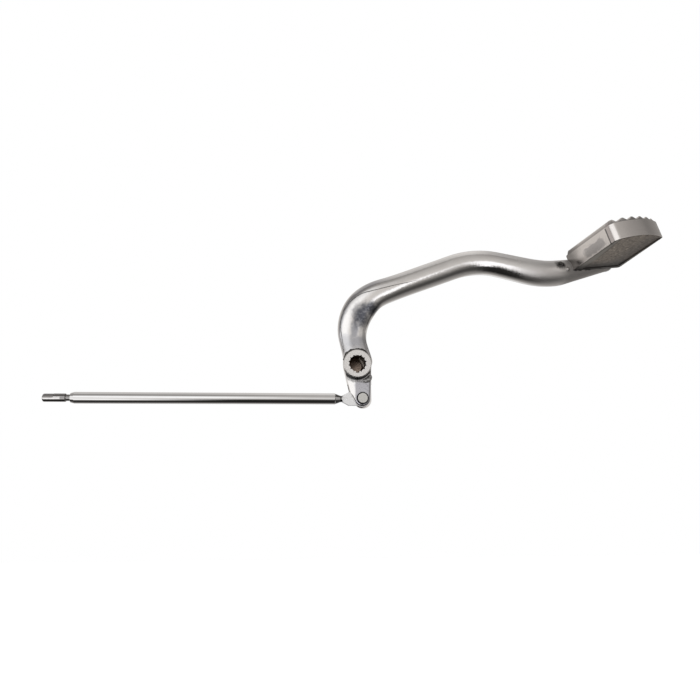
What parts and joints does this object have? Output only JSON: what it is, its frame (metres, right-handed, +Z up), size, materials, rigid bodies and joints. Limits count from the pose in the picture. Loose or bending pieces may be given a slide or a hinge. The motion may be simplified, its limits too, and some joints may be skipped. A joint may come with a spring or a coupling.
{
  "type": "motorcycle foot lever with link rod",
  "caption": "Foot lever for a motorcycle: curved polished arm with a splined hub, a broad ribbed pad and a pinned link rod.",
  "frame": {"origin": "centre of the splined bore on the lever's pivot axis, in the mid-plane of the forged arm", "axes": "+X towards the foot pad with the link rod lying along -X, +Z up as fitted, the splined bore's mouth faces -Y"},
  "size_m": [0.5338, 0.0841, 0.1681],
  "materials": {
    "lever_arm": "polished forged steel",
    "splined_hub": "turned, matt",
    "foot_pad": "cast, lightly polished",
    "clevis_pin": "zinc plated, dull",
    "clevis_washer": "zinc plated",
    "split_pin": "zinc plated",
    "rod_tube": "bright chrome",
    "rod_eye": "bright plated",
    "rod_stub": "bright chrome"
  },
  "bodies": {
    "lever": {"lever_arm": "lever_arm", "splined_hub": "splined_hub", "foot_pad": "foot_pad", "clevis_pin": "clevis_pin", "clevis_washer": "clevis_washer", "split_pin": "split_pin"},
    "link_rod": {"rod_tube": "rod_tube", "rod_eye": "rod_eye", "rod_stub": "rod_stub"}
  },
  "joints": [
    {"name": "rod_swing", "type": "hinge", "parent": "lever", "child": "link_rod", "pos_m": [0.0048, 0, -0.0289], "axis": [0, 1, 0], "range_deg": [-35, 35]}
  ]
}
